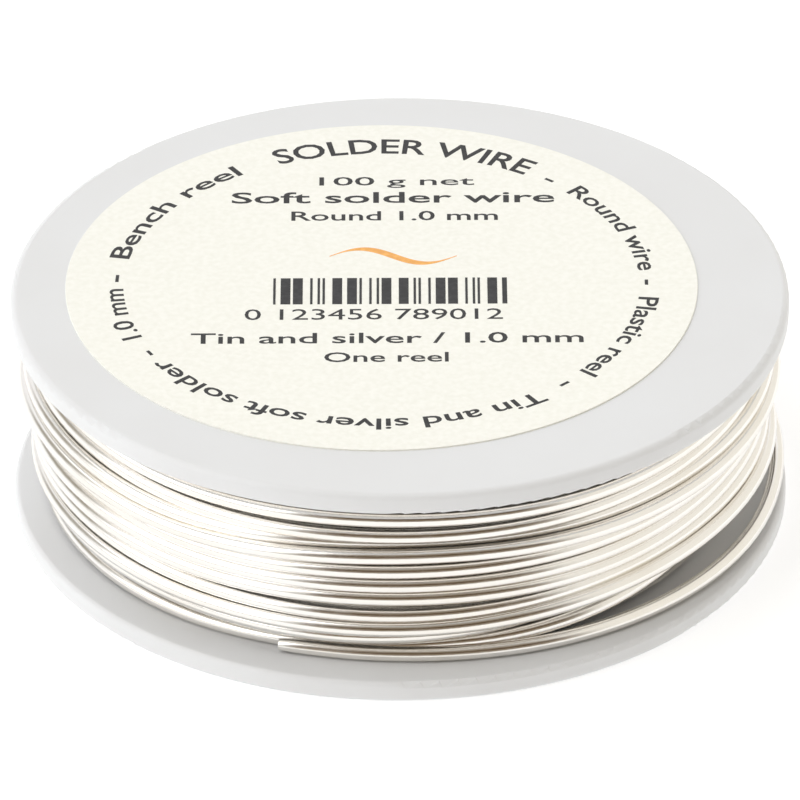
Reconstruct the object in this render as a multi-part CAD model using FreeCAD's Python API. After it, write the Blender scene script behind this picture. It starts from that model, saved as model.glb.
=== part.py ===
import FreeCAD, Part
import math
import os

# A reel of solder wire standing on its lower flange. Two flat flanges are pressed onto a ribbed
# winding core, a round paper label covers the upper flange, and one long wire fills the space
# between the flanges. Millimetres, Z up along the reel's axis, origin at the centre of the base.

# Driving dimensions.
flange_diameter = 50.0
reel_height = 15.35
flange_thickness = 1.45
core_diameter = 23.0
bore_diameter = 11.0
wire_diameter = 1.0
winding_diameter = 47.2
label_diameter = 40.6
label_thickness = 0.12
label_shift_x = -1.15
label_shift_y = 0.6

# Flange details.
outer_edge_radius = 0.45
inner_edge_radius = 0.35
recess_depth = 0.3
recess_inner_radius = 8.5
recess_outer_radius = 14.5
recess_slope = 0.3
locating_ring_height = 2.0
locating_ring_wall = 1.2
ring_gap_width = 7.0

# Core details.
core_wall = 1.5
bore_wall = 1.3
bore_chamfer = 0.3
rib_count = 6
rib_thickness = 1.2
rib_end_gap = 0.3
rib_embed = 0.2

# Winding details: how far the outline falls back from the outermost layer at its two ends.
slack_depth = 2.3
slack_height = 2.7
slack_knee_depth = 1.0
slack_knee_height = 1.15
slack_knee_rounding = 0.4
crown_rounding = 0.8
crown_depth = 0.5
crown_height = 1.0

# Wire details.
notch_width = 1.3
notch_height = 1.25
start_angle = 140.0
start_slant = 40.0
start_length = 6.0
start_lift = 0.05
corner_share = 0.45

# Values worked out from the ones above.
flange_radius = flange_diameter / 2
core_radius = core_diameter / 2
core_inner_radius = core_radius - core_wall
bore_radius = bore_diameter / 2
hub_radius = bore_radius + bore_wall
wire_radius = wire_diameter / 2
winding_radius = winding_diameter / 2
lower_face = flange_thickness
upper_face = reel_height - flange_thickness
start_height = lower_face + wire_radius + start_lift
up = FreeCAD.Vector(0, 0, 1)
centre = FreeCAD.Vector(0, 0, 0)

# The loose last turn, from where it leaves the winding at the back, round the right-hand side, to
# its free end at the front left: angle in degrees, distance from the axis, height of its centre.
loose_turn = [
    (100, 23.40, 2.95),
    (85, 23.65, 3.10),
    (70, 23.90, 3.30),
    (55, 24.10, 3.50),
    (40, 24.35, 3.65),
    (25, 24.50, 3.65),
    (10, 24.60, 3.40),
    (-5, 24.60, 2.85),
    (-20, 24.40, 2.32),
    (-35, 23.95, 2.00),
    (-50, 23.50, 1.95),
    (-65, 23.10, 1.95),
    (-80, 22.65, 1.95),
    (-95, 22.40, 1.95),
    (-110, 22.50, 1.98),
]


def polar(angle, radius, height):
    """Point at an angle in degrees round the axis."""
    turn = math.radians(angle)
    return FreeCAD.Vector(radius * math.cos(turn), radius * math.sin(turn), height)


def turn_at(before, corner, after):
    """Angle in radians by which a path turns at its middle point."""
    return (corner - before).getAngle(after - corner)


def arc_at(before, corner, after, cut):
    """Arc that meets both runs at the same distance, cut, from their corner."""
    back = (before - corner).normalize()
    ahead = (after - corner).normalize()
    start = corner + back * cut
    end = corner + ahead * cut
    radius = cut / math.tan(turn_at(before, corner, after) / 2)
    inward = (back + ahead).normalize()
    middle = corner + inward * (math.hypot(radius, cut) - radius)
    return Part.Arc(start, middle, end).toShape(), start, end, radius


def ring_section(corners):
    """Closed outline from (radius, height, rounding) corners, turned once round the axis."""
    points = [FreeCAD.Vector(radius, 0, height) for radius, height, rounding in corners]
    arcs = []
    joints = []
    for i, (radius, height, rounding) in enumerate(corners):
        before = points[i - 1]
        after = points[(i + 1) % len(points)]
        if rounding:
            cut = rounding * math.tan(turn_at(before, points[i], after) / 2)
            arc, start, end, _ = arc_at(before, points[i], after, cut)
            arcs.append(arc)
            joints.append((start, end))
        else:
            joints.append((points[i], points[i]))
    lines = []
    for i, (start, end) in enumerate(joints):
        lines.append(Part.LineSegment(end, joints[(i + 1) % len(joints)][0]).toShape())
    outline = Part.Wire(Part.__sortEdges__(lines + arcs))
    return Part.Face(outline).revolve(centre, up, 360)


def flange():
    """One flange, outer face down on Z = 0, with the ring that locates it inside the core."""
    ring_top = flange_thickness + locating_ring_height
    ring_outer = core_inner_radius
    ring_inner = ring_outer - locating_ring_wall
    body = ring_section([
        (hub_radius, 0, 0),
        (recess_inner_radius, 0, 0),
        (recess_inner_radius + recess_slope, recess_depth, 0),
        (recess_outer_radius - recess_slope, recess_depth, 0),
        (recess_outer_radius, 0, 0),
        (flange_radius, 0, outer_edge_radius),
        (flange_radius, flange_thickness, inner_edge_radius),
        (ring_outer, flange_thickness, 0),
        (ring_outer, ring_top, 0),
        (ring_inner, ring_top, 0),
        (ring_inner, flange_thickness, 0),
        (hub_radius, flange_thickness, 0),
    ])
    tail = start_tail()
    gap = Part.makeBox(core_radius, ring_gap_width, 2 * locating_ring_height)
    gap.translate(FreeCAD.Vector(0, -ring_gap_width / 2, flange_thickness))
    gap.rotate(centre, up, math.degrees(math.atan2(tail.y, tail.x)))
    return body.cut(gap)


def start_heading():
    """Direction of the wire's start in degrees, slanted out from the core's tangent."""
    return start_angle - 90 + start_slant


def start_tail():
    """Inner end of the wire, inside the core."""
    heading = math.radians(start_heading())
    along = FreeCAD.Vector(math.cos(heading), math.sin(heading), 0)
    return polar(start_angle, core_radius + wire_radius, start_height) - along * start_length


def lower_flange():
    return flange()


def upper_flange():
    """The same moulding turned over."""
    piece = flange()
    piece.rotate(centre, FreeCAD.Vector(1, 0, 0), 180)
    piece.translate(FreeCAD.Vector(0, 0, reel_height))
    return piece


def winding_core():
    """Outer tube, bore tube and radial ribs, with a notch in the lower edge for the wire."""
    outer_tube = ring_section([
        (core_inner_radius, lower_face, 0),
        (core_radius, lower_face, 0),
        (core_radius, upper_face, 0),
        (core_inner_radius, upper_face, 0),
    ])
    bore_tube = ring_section([
        (bore_radius + bore_chamfer, 0, 0),
        (hub_radius, 0, 0),
        (hub_radius, reel_height, 0),
        (bore_radius + bore_chamfer, reel_height, 0),
        (bore_radius, reel_height - bore_chamfer, 0),
        (bore_radius, bore_chamfer, 0),
    ])
    rib_bottom = lower_face + locating_ring_height + rib_end_gap
    rib_length = core_inner_radius - hub_radius + 2 * rib_embed
    rib = Part.makeBox(rib_length, rib_thickness, reel_height - 2 * rib_bottom)
    rib.translate(FreeCAD.Vector(hub_radius - rib_embed, -rib_thickness / 2, rib_bottom))
    ribs = []
    for i in range(rib_count):
        spoke = rib.copy()
        spoke.rotate(centre, up, i * 360 / rib_count)
        ribs.append(spoke)
    core = outer_tube.fuse([bore_tube] + ribs)
    tail = start_tail()
    notch = Part.makeBox(start_length * 2, notch_width, notch_height)
    notch.translate(FreeCAD.Vector(0, -notch_width / 2, 0))
    notch.rotate(centre, up, start_heading())
    notch.translate(FreeCAD.Vector(tail.x, tail.y, lower_face))
    return core.cut(notch).removeSplitter()


def paper_label():
    """Thin disc stuck slightly off centre on the upper flange, over the bore."""
    corner = FreeCAD.Vector(label_shift_x, label_shift_y, reel_height)
    return Part.makeCylinder(label_diameter / 2, label_thickness, corner)


def wire_winding():
    """Outer shape of the wound wire, slack at the lower flange and crowned above it."""
    return ring_section([
        (core_radius, lower_face, 0),
        (winding_radius - slack_depth, lower_face, 0),
        (winding_radius - slack_knee_depth, lower_face + slack_knee_height, slack_knee_rounding),
        (winding_radius, lower_face + slack_height, crown_rounding),
        (winding_radius, upper_face - crown_height, crown_rounding),
        (winding_radius - crown_depth, upper_face, 0),
        (core_radius, upper_face, 0),
    ])


def tube(points):
    """Round wire along straight runs joined by tangent arcs."""
    edges = []
    radii = []
    position = points[0]
    for before, corner, after in zip(points, points[1:], points[2:]):
        cut = corner_share * min((corner - before).Length, (after - corner).Length)
        arc, start, end, radius = arc_at(before, corner, after, cut)
        edges.append(Part.LineSegment(position, start).toShape())
        edges.append(arc)
        radii.append(radius)
        position = end
    edges.append(Part.LineSegment(position, points[-1]).toShape())
    path = Part.Wire(edges)
    rim = Part.makeCircle(wire_radius, points[0], points[1] - points[0])
    body = path.makePipeShell([Part.Wire(rim)], True, False)
    expected = math.pi * wire_radius ** 2 * path.Length
    print("tube length", round(path.Length, 2), "volume", round(body.Volume, 2),
          "section times length", round(expected, 2))
    if radii:
        print("arc radii", [round(radius, 1) for radius in radii])
    return body


def wire_loose_turn():
    return tube([polar(*point) for point in loose_turn])


def wire_start():
    """Straight stub that holds the wire in the core's notch."""
    tail = start_tail()
    head = polar(start_angle, core_radius + wire_radius, start_height)
    return tube([tail, head])


parts = {
    "lower_flange": lower_flange,
    "upper_flange": upper_flange,
    "winding_core": winding_core,
    "paper_label": paper_label,
    "wire_winding": wire_winding,
    "wire_loose_turn": wire_loose_turn,
    "wire_start": wire_start,
}

os.makedirs("parts", exist_ok=True)
for name, make in parts.items():
    shape = make()
    if not shape.isValid() or len(shape.Solids) != 1:
        raise ValueError(name + " is not one valid solid")
    shape.Solids[0].exportStep(os.path.join("parts", name + ".step"))
    box = shape.BoundBox
    print(name, "volume", round(shape.Volume, 1), "size", round(box.XLength, 2),
          round(box.YLength, 2), round(box.ZLength, 2))
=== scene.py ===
import bpy
import math
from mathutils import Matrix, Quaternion, Vector


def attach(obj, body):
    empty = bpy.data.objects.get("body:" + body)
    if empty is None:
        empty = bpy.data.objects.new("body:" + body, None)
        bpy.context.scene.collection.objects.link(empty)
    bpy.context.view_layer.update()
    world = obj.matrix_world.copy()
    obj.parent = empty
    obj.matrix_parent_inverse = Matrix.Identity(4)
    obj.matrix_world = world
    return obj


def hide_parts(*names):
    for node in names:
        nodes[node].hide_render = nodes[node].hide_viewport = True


# Looks of a reel of solder wire. Metres, Z up along the reel's axis, origin at the centre of the
# base. The two flanges and the core are the CAD bodies with finished materials; the paper label,
# its print and the wire are built here.

MM = 0.001

# Sizes shared with the CAD part, in metres.
REEL_HEIGHT = 15.35 * MM
CORE_RADIUS = 11.5 * MM
WIRE_DIAMETER = 1.0 * MM
WIRE_RADIUS = WIRE_DIAMETER / 2
LABEL_RADIUS = 20.3 * MM
LABEL_THICKNESS = 0.12 * MM
LABEL_CENTRE = (-1.15 * MM, 0.6 * MM)
INK_THICKNESS = 0.01 * MM

# How the wire is wound. Angles are in degrees round the axis and fall as the wire is laid.
START_ANGLE = 140.0
START_SLANT = 40.0
START_LENGTH = 6.0 * MM
FIRST_HEIGHT = 2.0 * MM
LAYER_COUNT = 13
LAYER_SPACING = 0.80 * MM
TOP_STRAND = 13.38 * MM
LOWEST_STRAND = 1.97 * MM
STRAND_PITCH = 1.03 * MM
SLACK_RADIUS = 20.5 * MM
SLACK_SLOPE = 0.9
INNER_STEP = 30.0
OUTER_STEP = 15.0
WIRE_SEGMENTS = 5
WIRE_ROUNDNESS = 5
TIP_LENGTH = 0.8 * MM
TIP_SHARE = 0.75

# Unevenness of the outer turns: size in millimetres, waves to a turn, phase in radians.
SWAY_OUT = [(0.03, 2.003, 0.6), (0.015, 5.006, 2.0)]
SWAY_RISE = [(0.02, 1.996, 1.1), (0.015, 4.013, 0.0)]

# The outermost layer from the top down. Each strand has its distance from the axis and its height,
# in millimetres, at these angles: right side, front right, front, front left and left side.
STRAND_ANGLES = [-15, -50, -90, -130, -165]
OUTER_STRANDS = [
    [(23.40, 13.38), (22.90, 13.38), (22.90, 13.38), (22.90, 13.38), (23.35, 13.38)],
    [(23.15, 12.65), (22.90, 12.00), (22.90, 12.33), (22.90, 12.13), (23.15, 12.55)],
    [(23.05, 11.70), (22.80, 10.95), (22.75, 11.00), (22.80, 10.95), (23.25, 11.60)],
    [(23.60, 10.85), (22.60, 10.00), (22.15, 10.25), (23.10, 10.00), (23.75, 10.70)],
    [(24.00, 9.95), (23.40, 9.42), (23.10, 9.75), (23.50, 9.12), (24.10, 9.80)],
    [(23.40, 9.10), (22.90, 8.42), (23.10, 8.65), (23.15, 8.30), (23.45, 8.90)],
    [(23.10, 8.20), (22.85, 7.35), (23.10, 7.60), (23.15, 7.38), (23.60, 7.85)],
    [(23.10, 7.25), (22.85, 6.35), (23.10, 6.65), (23.10, 6.42), (23.40, 6.80)],
    [(23.30, 6.30), (22.60, 5.42), (22.85, 5.20), (22.90, 5.35), (23.20, 5.75)],
    [(23.85, 5.45), (23.25, 4.75), (23.00, 4.25), (23.10, 4.30), (23.40, 4.65)],
    [(22.60, 4.85), (22.20, 4.40), (22.40, 3.35), (22.45, 3.30), (22.80, 3.50)],
]

# The last slack turn, which comes down onto the lower flange: angle, distance from the axis, height.
SLACK_TURN = [
    (-15, 21.70, 3.90),
    (-40, 22.50, 4.00),
    (-60, 22.60, 3.00),
    (-75, 22.10, 2.55),
    (-90, 21.65, 2.30),
    (-108, 21.60, 1.97),
    (-130, 22.15, 1.98),
    (-165, 22.60, 2.35),
    (-200, 22.70, 2.50),
    (-235, 23.00, 2.75),
]

# The loose last turn, the same points as in the CAD part: angle, distance from the axis, height.
LOOSE_TURN = [
    (100, 23.40, 2.95),
    (85, 23.65, 3.10),
    (70, 23.90, 3.30),
    (55, 24.10, 3.50),
    (40, 24.35, 3.65),
    (25, 24.50, 3.65),
    (10, 24.60, 3.40),
    (-5, 24.60, 2.85),
    (-20, 24.40, 2.32),
    (-35, 23.95, 2.00),
    (-50, 23.50, 1.95),
    (-65, 23.10, 1.95),
    (-80, 22.65, 1.95),
    (-95, 22.40, 1.95),
    (-110, 22.50, 1.98),
]

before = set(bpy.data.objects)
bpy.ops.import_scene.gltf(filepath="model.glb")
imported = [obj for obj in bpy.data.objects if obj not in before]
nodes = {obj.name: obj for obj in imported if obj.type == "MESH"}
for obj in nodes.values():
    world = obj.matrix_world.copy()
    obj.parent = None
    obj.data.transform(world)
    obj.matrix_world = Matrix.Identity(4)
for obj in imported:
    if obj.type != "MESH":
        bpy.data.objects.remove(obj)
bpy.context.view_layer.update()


# Small helpers.

def polar(angle, radius, height):
    """Point at an angle in degrees round the reel's axis."""
    turn = math.radians(angle)
    return Vector((radius * math.cos(turn), radius * math.sin(turn), height))


def smooth(share):
    """Eases from 0 to 1."""
    share = min(1.0, max(0.0, share))
    return share * share * (3 - 2 * share)


def along(stations, angle):
    """Radius and height at an angle, on a smooth curve through (angle, radius, height) stations."""
    i = 0
    while i < len(stations) - 2 and angle < stations[i + 1][0]:
        i += 1
    before = stations[max(i - 1, 0)]
    start = stations[i]
    end = stations[i + 1]
    after = stations[min(i + 2, len(stations) - 1)]
    span = end[0] - start[0]
    t = (angle - start[0]) / span
    values = []
    for part in (1, 2):
        leaving = (end[part] - before[part]) / (end[0] - before[0]) * span
        arriving = (after[part] - start[part]) / (after[0] - start[0]) * span
        value = start[part] + t * leaving
        value += t * t * (3 * (end[part] - start[part]) - 2 * leaving - arriving)
        value += t ** 3 * (2 * (start[part] - end[part]) + leaving + arriving)
        values.append(value)
    return values


def add_object(name, data):
    """New object in the scene that shows a mesh, curve or camera."""
    piece = bpy.data.objects.new(name, data)
    bpy.context.scene.collection.objects.link(piece)
    return piece


# The wire.

def lowest_height(radius):
    """Height of a layer's lowest strand; the outer layers have slipped clear of the flange."""
    return LOWEST_STRAND + max(0.0, radius - SLACK_RADIUS) * SLACK_SLOPE


def inner_winding():
    """Angle, radius and height along the hidden layers, wound up and down the core in turn."""
    path = []
    angle = START_ANGLE
    for layer in range(LAYER_COUNT):
        radius = CORE_RADIUS + WIRE_RADIUS + layer * LAYER_SPACING
        low = lowest_height(radius)
        rising = layer % 2 == 0
        turns = (TOP_STRAND - low) / STRAND_PITCH + 0.5
        steps = round(turns * 360 / INNER_STEP)
        for step in range(steps):
            turned = step * INNER_STEP / 360
            share = min(1.0, turned / (turns - 0.5))
            climb = smooth((turned - turns + 0.5) / 0.5)
            height = low + (TOP_STRAND - low) * (share if rising else 1 - share)
            path.append((angle, radius + climb * LAYER_SPACING, height))
            angle -= INNER_STEP
    return path


def sway(angle):
    """Small unevenness of the turns in millimetres: change of radius and of height."""
    turn = math.radians(angle)
    out = sum(size * math.sin(waves * turn + phase) for size, waves, phase in SWAY_OUT)
    rise = sum(size * math.sin(waves * turn + phase) for size, waves, phase in SWAY_RISE)
    return out, rise


def outer_winding(first_angle):
    """Angle, radius and height along the strands that show, from the top down."""
    stations = []
    for i, strand in enumerate(OUTER_STRANDS):
        for angle, (radius, height) in zip(STRAND_ANGLES, strand):
            stations.append((angle - 360 * i, radius, height))
    for angle, radius, height in SLACK_TURN:
        stations.append((angle - 360 * len(OUTER_STRANDS), radius, height))
    shift = 360 * math.floor((first_angle - stations[0][0]) / 360)
    path = []
    local = first_angle - shift
    while local > stations[-1][0]:
        radius, height = along(stations, min(local, stations[0][0]))
        out, rise = sway(local)
        path.append((local + shift, (radius + out) * MM, (height + rise) * MM))
        local -= OUTER_STEP
    return path


def loose_end(last_angle):
    """Angle, radius and height of the loose turn, unwound from the end of the winding."""
    shift = 360 * math.floor((last_angle - LOOSE_TURN[0][0]) / 360)
    return [(angle + shift, radius * MM, height * MM) for angle, radius, height in LOOSE_TURN]


def control_radius(radius, step):
    """Distance of a control point from the axis, so that a smooth turn keeps its radius.

    The spline cuts its corners, and the more so the larger the step between them in degrees.
    """
    return radius * (1 + 0.25 * (1 - math.cos(math.radians(step))))


def wire_points():
    """Control points of the whole wire, from its inner end to its free end, and its exit point."""
    heading = math.radians(START_ANGLE - 90 + START_SLANT)
    outward = Vector((math.cos(heading), math.sin(heading), 0))
    head = polar(START_ANGLE, CORE_RADIUS + WIRE_RADIUS, FIRST_HEIGHT)
    points = [head - outward * START_LENGTH, head - outward * START_LENGTH / 2, head]
    path = inner_winding()[1:]
    path += outer_winding(path[-1][0] - INNER_STEP)
    for i, (angle, radius, height) in enumerate(path):
        step = path[i - 1][0] - angle if i else INNER_STEP
        points.append(polar(angle, control_radius(radius, step), height))
    loose = loose_end(path[-1][0])
    points += [polar(*point) for point in loose]
    back = (points[-2] - points[-1]).normalized()
    points.insert(-1, points[-1] + back * TIP_LENGTH)
    print("wire turns", round((START_ANGLE - loose[-1][0]) / 360, 2))
    return points, head


def wire():
    """The whole wire as one spline: start, inner layers, outer layer and loose end."""
    points, head = wire_points()
    curve = bpy.data.curves.new("solder_wire", "CURVE")
    curve.dimensions = "3D"
    curve.bevel_depth = WIRE_RADIUS
    curve.bevel_resolution = WIRE_ROUNDNESS
    curve.use_fill_caps = True
    spline = curve.splines.new("NURBS")
    spline.points.add(len(points) - 1)
    for control, point in zip(spline.points, points):
        control.co = (point.x, point.y, point.z, 1.0)
    spline.points[-1].radius = TIP_SHARE
    spline.order_u = 3
    spline.use_endpoint_u = True
    spline.resolution_u = WIRE_SEGMENTS
    piece = add_object("solder_wire", curve)
    curve.materials.append(solder_material())
    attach(piece, "root")
    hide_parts("wire_winding", "wire_loose_turn", "wire_start")


# Materials. Colours are linear red, green and blue.

FLANGE_SHADE = 0.78
CORE_SHADE = 0.72
PAPER_COLOUR = (0.93, 0.93, 0.86)
PAPER_DARK = (0.90, 0.90, 0.835)
PAPER_PALE = (0.95, 0.95, 0.895)
INK_COLOUR = (0.017, 0.017, 0.019)
ACCENT_COLOUR = (0.85, 0.40, 0.10)
SOLDER_COLOUR = (0.88, 0.86, 0.82)
SOLDER_BRIGHT = (0.90, 0.88, 0.85)
SOLDER_WARM = (0.87, 0.84, 0.79)


def new_material(name, base, roughness):
    """Material of one plain colour, with its node tree and its shader node."""
    material = bpy.data.materials.new(name)
    material.use_nodes = True
    tree = material.node_tree
    shader = tree.nodes["Principled BSDF"]
    shader.inputs["Base Color"].default_value = (*base, 1)
    shader.inputs["Roughness"].default_value = roughness
    return material, tree, shader


def node(tree, kind, **values):
    """New node with some of its inputs set."""
    made = tree.nodes.new(kind)
    for key, value in values.items():
        made.inputs[key].default_value = value
    return made


def object_noise(tree, scale, detail):
    """Noise over the object's own coordinates; scale is per metre."""
    place = tree.nodes.new("ShaderNodeTexCoord")
    noise = node(tree, "ShaderNodeTexNoise", Scale=scale, Detail=detail)
    tree.links.new(place.outputs["Object"], noise.inputs["Vector"])
    return noise


def ramp(tree, source, low, high, low_colour, high_colour):
    """Blend from one colour to another while the source goes from low to high."""
    made = tree.nodes.new("ShaderNodeValToRGB")
    made.color_ramp.elements[0].position = low
    made.color_ramp.elements[0].color = (*low_colour, 1)
    made.color_ramp.elements[1].position = high
    made.color_ramp.elements[1].color = (*high_colour, 1)
    tree.links.new(source, made.inputs["Fac"])
    return made


def bump(tree, shader, source, strength, distance):
    """Fine relief on a shader; distance is in metres."""
    made = node(tree, "ShaderNodeBump", Strength=strength, Distance=distance)
    tree.links.new(source, made.inputs["Height"])
    tree.links.new(made.outputs["Normal"], shader.inputs["Normal"])


def plastic_material(name, shade):
    """Satin moulded polystyrene with a faint cloudiness and a fine moulded grain."""
    material, tree, shader = new_material(name, (shade, shade, shade), 0.42)
    cloud = object_noise(tree, 120, 4)
    tint = ramp(tree, cloud.outputs["Fac"], 0.3, 0.7,
                (shade * 0.96, shade * 0.97, shade * 0.985), (shade * 0.985, shade, shade * 1.02))
    tree.links.new(tint.outputs["Color"], shader.inputs["Base Color"])
    grain = object_noise(tree, 9000, 3)
    gloss = ramp(tree, grain.outputs["Fac"], 0.3, 0.7, (0.36,) * 3, (0.48,) * 3)
    tree.links.new(gloss.outputs["Color"], shader.inputs["Roughness"])
    bump(tree, shader, grain.outputs["Fac"], 0.12, 0.02 * MM)
    shader.inputs["Subsurface Weight"].default_value = 0.08
    shader.inputs["Subsurface Radius"].default_value = (0.6 * MM, 0.6 * MM, 0.6 * MM)
    return material


def paper_material():
    """Matt warm white label paper with a faint fibre."""
    material, tree, shader = new_material("label_paper", PAPER_COLOUR, 0.7)
    fibre = object_noise(tree, 2600, 5)
    tint = ramp(tree, fibre.outputs["Fac"], 0.35, 0.65, PAPER_DARK, PAPER_PALE)
    tree.links.new(tint.outputs["Color"], shader.inputs["Base Color"])
    bump(tree, shader, fibre.outputs["Fac"], 0.15, 0.01 * MM)
    return material


def ink_material(name, colour):
    """Matt print, a little paler in places."""
    material, tree, shader = new_material(name, colour, 0.55)
    wear = object_noise(tree, 3000, 3)
    pale = tuple(min(1.0, c * 1.3 + 0.015) for c in colour)
    tint = ramp(tree, wear.outputs["Fac"], 0.4, 0.75, colour, pale)
    tree.links.new(tint.outputs["Color"], shader.inputs["Base Color"])
    return material


def solder_material():
    """Bright drawn tin-silver wire with a faint warm film."""
    material, tree, shader = new_material("solder", SOLDER_COLOUR, 0.2)
    shader.inputs["Metallic"].default_value = 1.0
    film = object_noise(tree, 160, 2)
    tint = ramp(tree, film.outputs["Fac"], 0.35, 0.7, SOLDER_BRIGHT, SOLDER_WARM)
    tree.links.new(tint.outputs["Color"], shader.inputs["Base Color"])
    marks = object_noise(tree, 700, 2)
    gloss = ramp(tree, marks.outputs["Fac"], 0.3, 0.75, (0.17,) * 3, (0.25,) * 3)
    tree.links.new(gloss.outputs["Color"], shader.inputs["Roughness"])
    return material


# The label. Places on it are measured from its centre for the rim's words and from the reel's axis
# for everything else.

PAPER_TOP = REEL_HEIGHT + LABEL_THICKNESS - INK_THICKNESS
INK_TOP = REEL_HEIGHT + LABEL_THICKNESS
PAPER_SIDES = 180
PAPER_EDGE = 0.02 * MM

# Words round the rim: text, first and last angle clockwise from the top in degrees, letter
# height in millimetres. The words are plain descriptions. Boldness is a share of the letters' size.
RING_WORDS = [
    ("SOLDER WIRE", -23.5, 34.0, 1.80),
    ("-  Round wire", 39.0, 85.0, 1.28),
    ("-  Plastic reel", 89.0, 131.0, 1.28),
    ("-  Tin and silver soft solder", 136.0, 236.0, 1.28),
    ("-  1.0 mm", 239.0, 268.0, 1.28),
    ("-  Bench reel", 271.0, 327.0, 1.28),
]
RING_BASELINE = 16.6
RING_BOLDNESS = 0.012

# Centred lines: text, left and right end and baseline in millimetres, letter height, boldness.
LINE_WORDS = [
    ("100 g net", -5.2, 4.9, 13.05, 1.05, 0.005),
    ("Soft solder wire", -10.9, 10.1, 10.8, 1.35, 0.012),
    ("Round 1.0 mm", -7.0, 6.4, 8.55, 1.15, 0.009),
    ("0 123456 789012", -9.9, 6.6, -3.9, 1.30, 0.0),
    ("Tin and silver / 1.0 mm", -13.3, 11.7, -6.8, 1.25, 0.009),
    ("One reel", -4.8, 3.1, -9.1, 1.15, 0.009),
]
CAPITAL_SHARE = 0.69

# The bars: their edges in millimetres and how many thin bars would fit side by side.
BARS_LEFT = -8.1
BARS_RIGHT = 6.9
BARS_BOTTOM = -2.0
BARS_TOP = 1.25
BAR_UNITS = 95

# The orange wave: its ends, the height of its middle, how far it swings and half its width, in
# millimetres.
STROKE_LEFT = -4.5
STROKE_RIGHT = 3.7
STROKE_HEIGHT = 4.0
STROKE_WAVE = 0.9
STROKE_THINNEST = 0.05
STROKE_SWELLING = 0.30
STROKE_PIECES = 40


def text_mesh(words, bold):
    """Mesh of a line of text in the built-in font, lying flat, with its faces at z 0.5 and -0.5."""
    curve = bpy.data.curves.new("words", "FONT")
    curve.body = words
    curve.offset = bold
    curve.extrude = 0.5
    curve.resolution_u = 3
    holder = add_object("words", curve)
    bpy.context.view_layer.update()
    seen = holder.evaluated_get(bpy.context.evaluated_depsgraph_get())
    mesh = bpy.data.meshes.new_from_object(seen)
    bpy.data.objects.remove(holder)
    bpy.data.curves.remove(curve)
    return mesh


def letters(words, width, height, bold):
    """Vertices and faces of a line of text fitted to a width and a capital height, in metres."""
    mesh = text_mesh(words, bold)
    corners = [v.co.copy() for v in mesh.vertices]
    faces = [tuple(p.vertices) for p in mesh.polygons]
    bpy.data.meshes.remove(mesh)
    left = min(c.x for c in corners)
    right = max(c.x for c in corners)
    fitted = []
    for c in corners:
        level = INK_TOP if c.z > 0 else PAPER_TOP - INK_THICKNESS
        fitted.append(((c.x - left) / (right - left) * width, c.y / CAPITAL_SHARE * height, level))
    return fitted, faces


def ring_letters(words, first, last, height):
    """A line of text bent clockwise round the label, tops outward."""
    baseline = RING_BASELINE * MM
    span = math.radians(last - first)
    flat, faces = letters(words, span, height * MM, RING_BOLDNESS)
    bent = []
    for x, y, z in flat:
        turn = math.radians(first) + x
        radius = baseline + y
        bent.append((LABEL_CENTRE[0] + radius * math.sin(turn),
                     LABEL_CENTRE[1] + radius * math.cos(turn), z))
    return bent, faces


def line_letters(words, left, right, baseline, height, bold):
    """A straight line of text."""
    flat, faces = letters(words, (right - left) * MM, height * MM, bold)
    return [(x + left * MM, y + baseline * MM, z) for x, y, z in flat], faces


def box_bar(left, right, bottom, top):
    """A printed bar as a closed block."""
    low = PAPER_TOP - INK_THICKNESS
    corners = [(x, y, z) for z in (low, INK_TOP) for y in (bottom, top) for x in (left, right)]
    faces = [(0, 2, 3, 1), (4, 5, 7, 6), (0, 1, 5, 4), (2, 6, 7, 3), (0, 4, 6, 2), (1, 3, 7, 5)]
    return corners, faces


def bar_code():
    """A made-up run of bars; it stands for no number."""
    unit = (BARS_RIGHT - BARS_LEFT) / BAR_UNITS
    pieces = []
    place = 0
    while place < BAR_UNITS:
        i = len(pieces)
        wide = 1 + (i * 7 + i * i) % 5 % 4
        gap = 1 + (i * 5 + 1) % 3
        left = BARS_LEFT + place * unit
        right = min(left + wide * unit, BARS_RIGHT)
        pieces.append(box_bar(left * MM, right * MM, BARS_BOTTOM * MM, BARS_TOP * MM))
        place += wide + gap
    return pieces


def join(name, pieces, material):
    """One object from several lists of vertices and faces."""
    corners = []
    faces = []
    for more, sides in pieces:
        start = len(corners)
        corners += more
        faces += [tuple(start + i for i in side) for side in sides]
    mesh = bpy.data.meshes.new(name)
    mesh.from_pydata(corners, [], faces)
    mesh.validate()
    mesh.materials.append(material)
    piece = add_object(name, mesh)
    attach(piece, "root")
    return piece


def accent_stroke():
    """A plain orange wave, thick in its middle and thin at both ends."""
    top = (PAPER_TOP + INK_TOP) / 2
    low = PAPER_TOP - INK_THICKNESS
    corners = []
    for i in range(STROKE_PIECES + 1):
        share = i / STROKE_PIECES
        x = (STROKE_LEFT + (STROKE_RIGHT - STROKE_LEFT) * share) * MM
        y = (STROKE_HEIGHT + STROKE_WAVE * math.sin(2 * math.pi * share)) * MM
        half = (STROKE_THINNEST + STROKE_SWELLING * math.sin(math.pi * share) ** 2) * MM
        for z in (low, top):
            corners += [(x, y - half, z), (x, y + half, z)]
    faces = [(0, 1, 3, 2)]
    for i in range(STROKE_PIECES):
        a = i * 4
        b = a + 4
        faces += [(a, b, b + 1, a + 1), (a + 2, a + 3, b + 3, b + 2)]
        faces += [(a, a + 2, b + 2, b), (a + 1, b + 1, b + 3, a + 3)]
    end = STROKE_PIECES * 4
    faces.append((end, end + 2, end + 3, end + 1))
    return corners, faces


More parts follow.
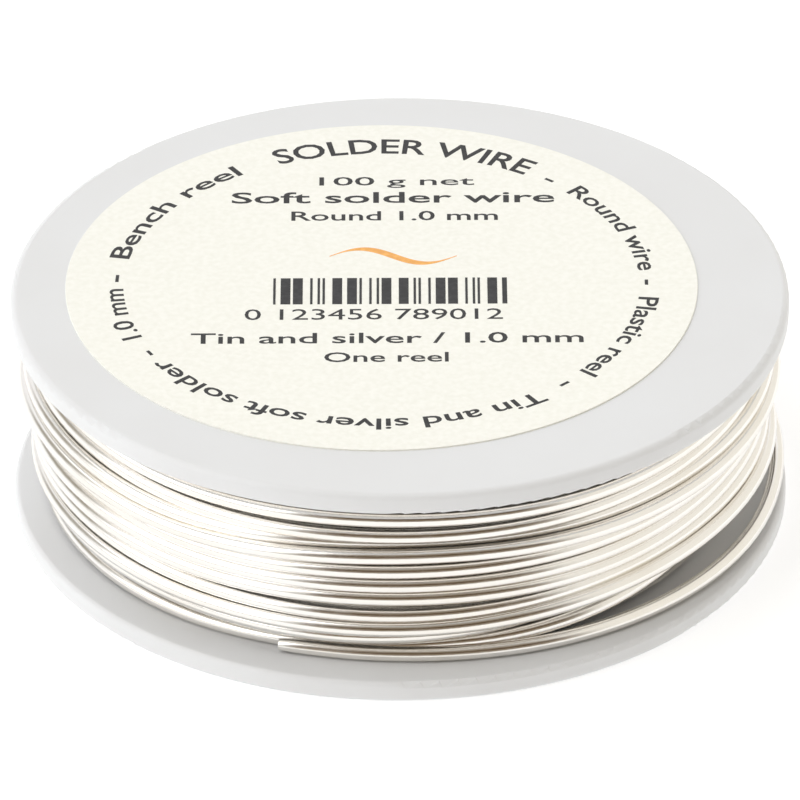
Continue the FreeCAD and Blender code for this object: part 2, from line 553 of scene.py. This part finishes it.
def paper_disc():
    """The label's paper with a fine cut edge."""
    count = PAPER_SIDES
    rings = [
        (LABEL_RADIUS, REEL_HEIGHT),
        (LABEL_RADIUS, PAPER_TOP - PAPER_EDGE),
        (LABEL_RADIUS - PAPER_EDGE, PAPER_TOP),
    ]
    corners = []
    for radius, height in rings:
        for i in range(count):
            turn = 2 * math.pi * i / count
            corners.append((LABEL_CENTRE[0] + radius * math.cos(turn),
                            LABEL_CENTRE[1] + radius * math.sin(turn), height))
    faces = [tuple(reversed(range(count)))]
    for ring in range(len(rings) - 1):
        for i in range(count):
            a = ring * count + i
            b = ring * count + (i + 1) % count
            faces.append((a, b, b + count, a + count))
    faces.append(tuple(range((len(rings) - 1) * count, len(rings) * count)))
    return corners, faces


def label():
    """The paper disc with its raised print, in place of the CAD label."""
    paper = join("label_paper_disc", [paper_disc()], paper_material())
    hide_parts("paper_label")
    print_pieces = [ring_letters(*words) for words in RING_WORDS]
    print_pieces += [line_letters(*words) for words in LINE_WORDS]
    print_pieces += bar_code()
    join("label_print", print_pieces, ink_material("label_ink", INK_COLOUR))
    join("label_wave", [accent_stroke()], ink_material("label_accent", ACCENT_COLOUR))


# CAD bodies. Faces that meet at a sharper angle than this, in degrees, keep a crisp edge.

CRISP_EDGE = 35


def finish_plastic():
    """Materials of the two flanges and of the core between them."""
    flange_plastic = plastic_material("flange_plastic", FLANGE_SHADE)
    core_plastic = plastic_material("core_plastic", CORE_SHADE)
    for name in ("lower_flange", "upper_flange"):
        dress(nodes[name], flange_plastic)
    dress(nodes["winding_core"], core_plastic)


def dress(piece, material):
    """Gives a CAD body its material and smooths its curved faces."""
    piece.data.materials.clear()
    piece.data.materials.append(material)
    for face in piece.data.polygons:
        face.use_smooth = True
    edges = piece.modifiers.new("edges", "EDGE_SPLIT")
    edges.split_angle = math.radians(CRISP_EDGE)
    piece.modifiers.new("normals", "WEIGHTED_NORMAL")


# Surroundings.

FLOOR_HALF = 6.0
FLOOR_SHADE = 0.6
FLOOR_GLOW = 0.56


def floor():
    """Plain white floor, bright enough to lose the shadow."""
    half = FLOOR_HALF
    mesh = bpy.data.meshes.new("floor")
    corners = [(-half, -half, 0), (half, -half, 0), (half, half, 0), (-half, half, 0)]
    mesh.from_pydata(corners, [], [(0, 1, 2, 3)])
    material, _, shader = new_material("floor_paint", (FLOOR_SHADE,) * 3, 0.9)
    shader.inputs["Emission Color"].default_value = (1, 1, 1, 1)
    shader.inputs["Emission Strength"].default_value = FLOOR_GLOW
    mesh.materials.append(material)
    add_object("floor", mesh)


def span_mask(tree, angle, middle, half, edge):
    """1 where an angle is within half of a middle value and 0 outside, all in degrees."""
    off = tree.nodes.new("ShaderNodeMath")
    off.operation = "SUBTRACT"
    off.inputs[1].default_value = math.radians(middle)
    tree.links.new(angle, off.inputs[0])
    size = tree.nodes.new("ShaderNodeMath")
    size.operation = "ABSOLUTE"
    tree.links.new(off.outputs["Value"], size.inputs[0])
    mask = tree.nodes.new("ShaderNodeMapRange")
    mask.interpolation_type = "SMOOTHSTEP"
    mask.inputs["From Min"].default_value = math.radians(half + edge)
    mask.inputs["From Max"].default_value = math.radians(half - edge)
    tree.links.new(size.outputs["Value"], mask.inputs["Value"])
    return mask.outputs["Result"]


def studio_angles(tree):
    """Azimuth and elevation round the reel; azimuth 0 is over the camera and 90 to its right."""
    place = tree.nodes.new("ShaderNodeTexCoord")
    parts = tree.nodes.new("ShaderNodeSeparateXYZ")
    tree.links.new(place.outputs["Generated"], parts.inputs["Vector"])
    front = tree.nodes.new("ShaderNodeMath")
    front.operation = "MULTIPLY"
    front.inputs[1].default_value = -1
    tree.links.new(parts.outputs["Y"], front.inputs[0])
    azimuth = tree.nodes.new("ShaderNodeMath")
    azimuth.operation = "ARCTAN2"
    tree.links.new(parts.outputs["X"], azimuth.inputs[0])
    tree.links.new(front.outputs["Value"], azimuth.inputs[1])
    elevation = tree.nodes.new("ShaderNodeMath")
    elevation.operation = "ARCSINE"
    tree.links.new(parts.outputs["Z"], elevation.inputs[0])
    return azimuth.outputs["Value"], elevation.outputs["Value"]


# Panels of the studio: azimuth and elevation of the middle, half width, half height and softness
# of the edge in degrees, colour. Pale walls fill the rest; each panel covers the ones before it.
# In turn: the grey half behind the camera, a brown opening in it, the warm wall on the right, a
# dark gap level with the camera, a grey patch on the left, and two bright soft boxes on the left.
WALL_COLOUR = (1.0, 1.0, 1.01)
STUDIO_PANELS = [
    (0, 45, 92, 60, 8, (0.44, 0.43, 0.41)),
    (9, 8, 39, 50, 4, (0.28, 0.225, 0.16)),
    (108, 30, 58, 34, 6, (0.96, 0.93, 0.86)),
    (9, 32, 39, 9, 4, (0.08, 0.05, 0.03)),
    (-118, 27, 18, 14, 5, (0.38, 0.35, 0.29)),
    (-112, 62, 24, 16, 5, (2.0, 2.0, 2.0)),
    (-64, 50, 28, 42, 4, (2.4, 2.4, 2.38)),
]


def studio():
    """World light: pale walls with the panels laid over them in turn."""
    world = bpy.data.worlds.new("studio")
    world.use_nodes = True
    tree = world.node_tree
    across, above = studio_angles(tree)
    colour = tree.nodes.new("ShaderNodeRGB").outputs["Color"]
    colour.default_value = (*WALL_COLOUR, 1)
    for azimuth, elevation, width, height, edge, shade in STUDIO_PANELS:
        both = tree.nodes.new("ShaderNodeMath")
        both.operation = "MULTIPLY"
        tree.links.new(span_mask(tree, across, azimuth, width, edge), both.inputs[0])
        tree.links.new(span_mask(tree, above, elevation, height, edge), both.inputs[1])
        over = tree.nodes.new("ShaderNodeMixRGB")
        over.inputs["Color2"].default_value = (*shade, 1)
        tree.links.new(both.outputs["Value"], over.inputs["Fac"])
        tree.links.new(colour, over.inputs["Color1"])
        colour = over.outputs["Color"]
    tree.links.new(colour, tree.nodes["Background"].inputs["Color"])
    bpy.context.scene.world = world


# The camera, fitted to the outlines of the flanges and the label in the photo. Places are in metres,
# the roll in degrees, sensor and lens in millimetres.

CAMERA_PLACE = (0.0, -0.55989, 0.35071)
CAMERA_AIM = (0.0, 0.0, 0.00702)
CAMERA_ROLL = -0.257
CAMERA_SENSOR = 36.0
CAMERA_LENS = 457.66


def camera():
    """Long lens over the front of the reel."""
    data = bpy.data.cameras.new("camera")
    data.sensor_width = CAMERA_SENSOR
    data.lens = CAMERA_LENS
    data.clip_start = 0.05
    data.clip_end = 50
    holder = add_object("camera", data)
    holder.location = CAMERA_PLACE
    look = (Vector(CAMERA_AIM) - holder.location).to_track_quat("-Z", "Y")
    holder.rotation_mode = "QUATERNION"
    holder.rotation_quaternion = look @ Quaternion((0, 0, 1), math.radians(CAMERA_ROLL))
    bpy.context.scene.camera = holder


finish_plastic()
label()
wire()
floor()
studio()
camera()
bpy.context.scene.view_settings.view_transform = "Standard"
